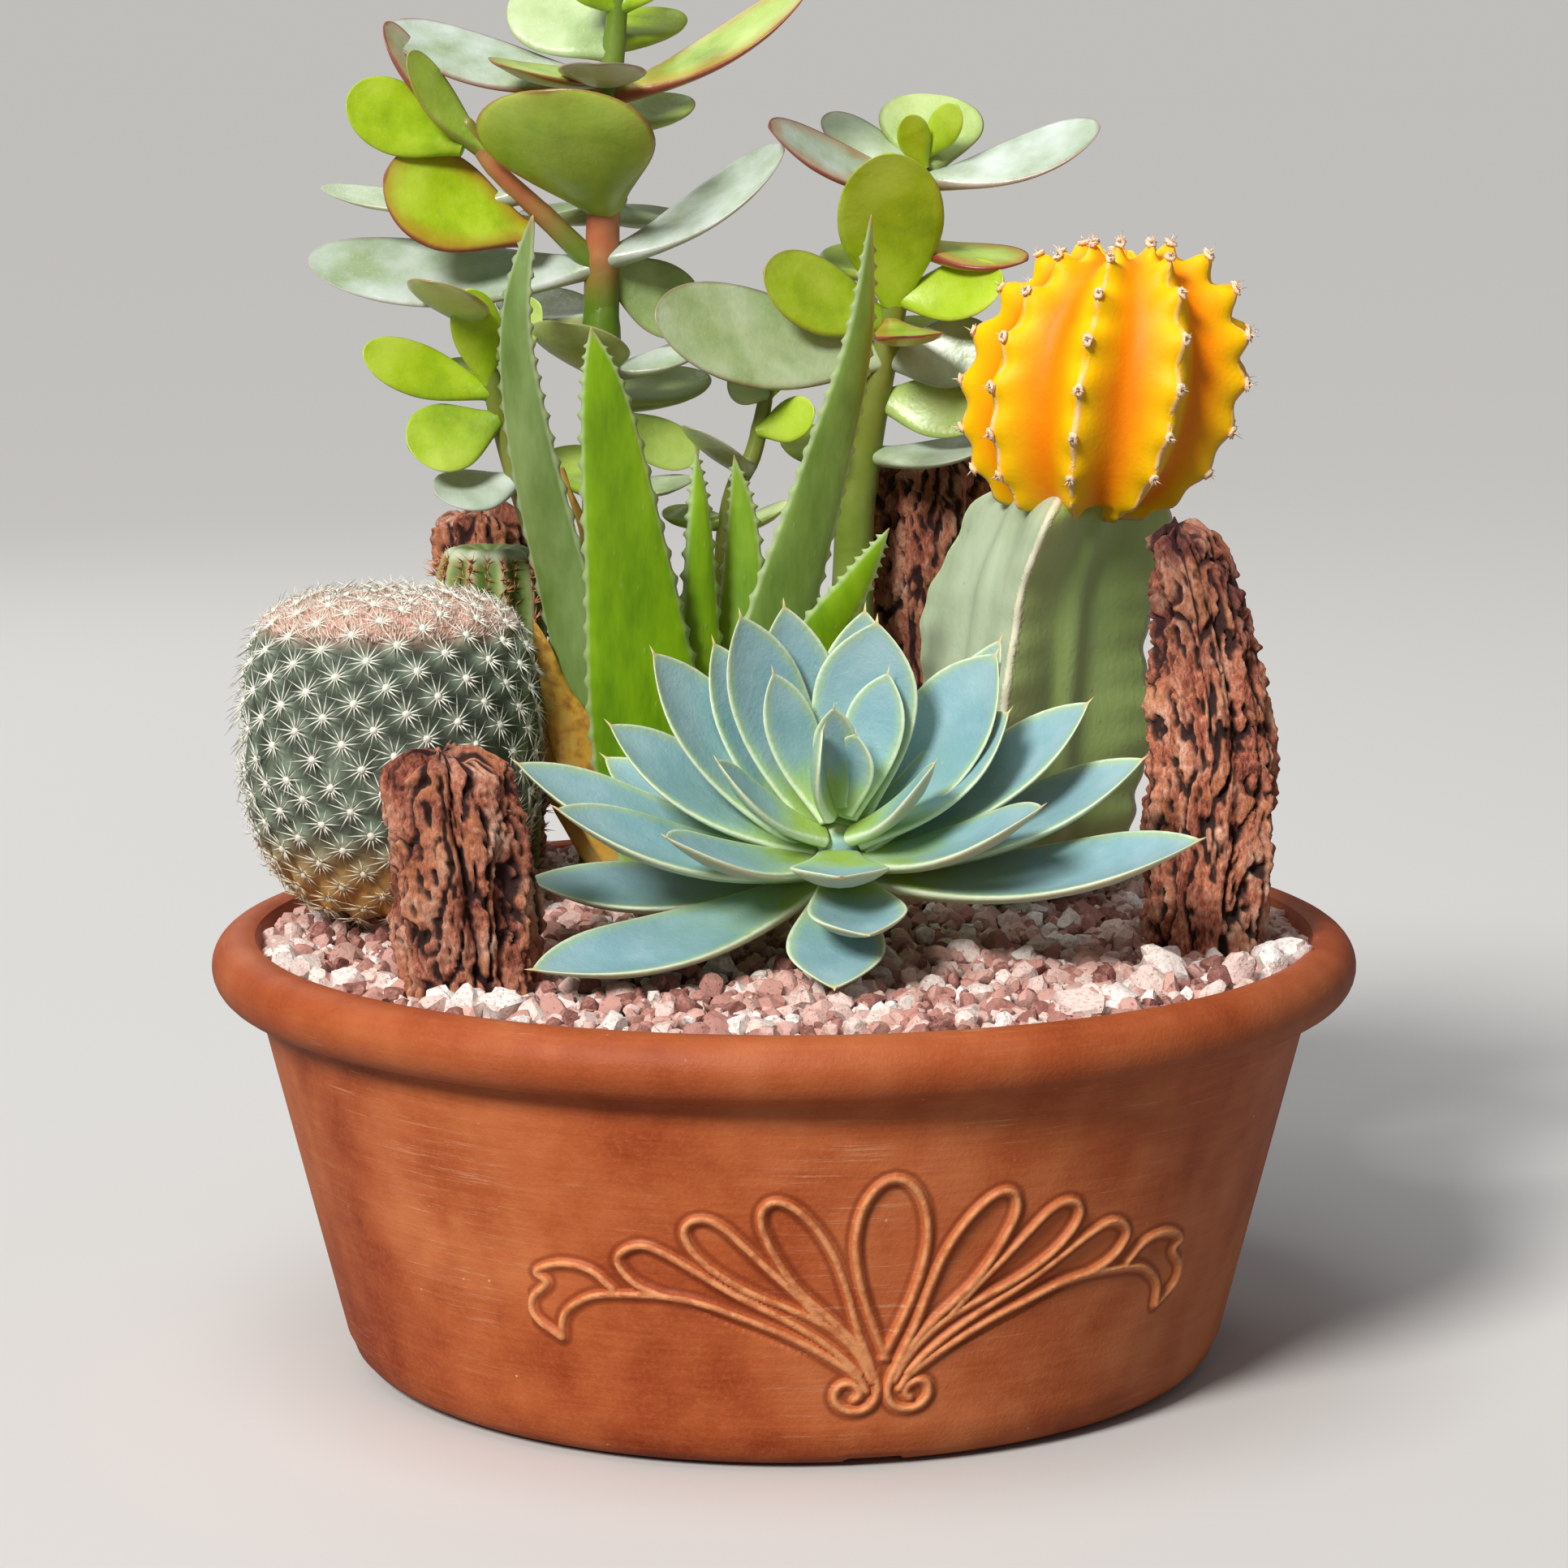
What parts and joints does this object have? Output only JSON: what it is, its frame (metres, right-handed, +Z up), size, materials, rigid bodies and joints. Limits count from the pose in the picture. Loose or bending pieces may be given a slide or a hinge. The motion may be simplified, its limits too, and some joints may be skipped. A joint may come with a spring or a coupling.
{
  "type": "potted succulent arrangement",
  "caption": "Round rolled-rim terracotta bowl with a raised palmette, planted with a rosette succulent, grafted and globe cacti, aloe and jade plants among weathered wood on gravel.",
  "frame": {"origin": "centre of the bowl's foot, on the plane it stands on", "axes": "+Z up out of the bowl; -Y is the side towards the camera, with the palmette 11 degrees to the right of it; +X to the camera's right"},
  "size_m": [0.22, 0.22, 0.285],
  "materials": {
    "terracotta": "unglazed fired clay, lightly burnished and brushed",
    "potting_soil": "dark loose potting mix",
    "pink_gravel": "rough pink and white granite grit",
    "echeveria_leaf": "powdery blue-green leaf with paler margins",
    "rootstock": "waxy grey-green stem",
    "moon_scion": "satin yellow-orange cactus skin",
    "globe_skin": "grey-green tubercles under white spines",
    "rear_cactus_skin": "ribbed green skin with rust-coloured spines",
    "aloe_leaf": "smooth bright green leaf",
    "jade_leaf": "smooth thick leaf, green with red-brown margins",
    "weathered_wood": "deeply furrowed red-brown weathered wood"
  },
  "bodies": {
    "root": {"pot": "terracotta", "potting_soil": "potting_soil", "gravel": "pink_gravel", "echeveria": "echeveria_leaf", "moon_cactus_stock": "rootstock", "moon_cactus_head": "moon_scion", "globe_cactus": "globe_skin", "rear_cactus": "rear_cactus_skin", "aloe": "aloe_leaf", "jade_left": "jade_leaf", "jade_right": "jade_leaf", "jade_low": "jade_leaf", "wood_front": "weathered_wood", "wood_right": "weathered_wood", "wood_back_centre": "weathered_wood", "wood_back_left": "weathered_wood"}
  },
  "joints": []
}
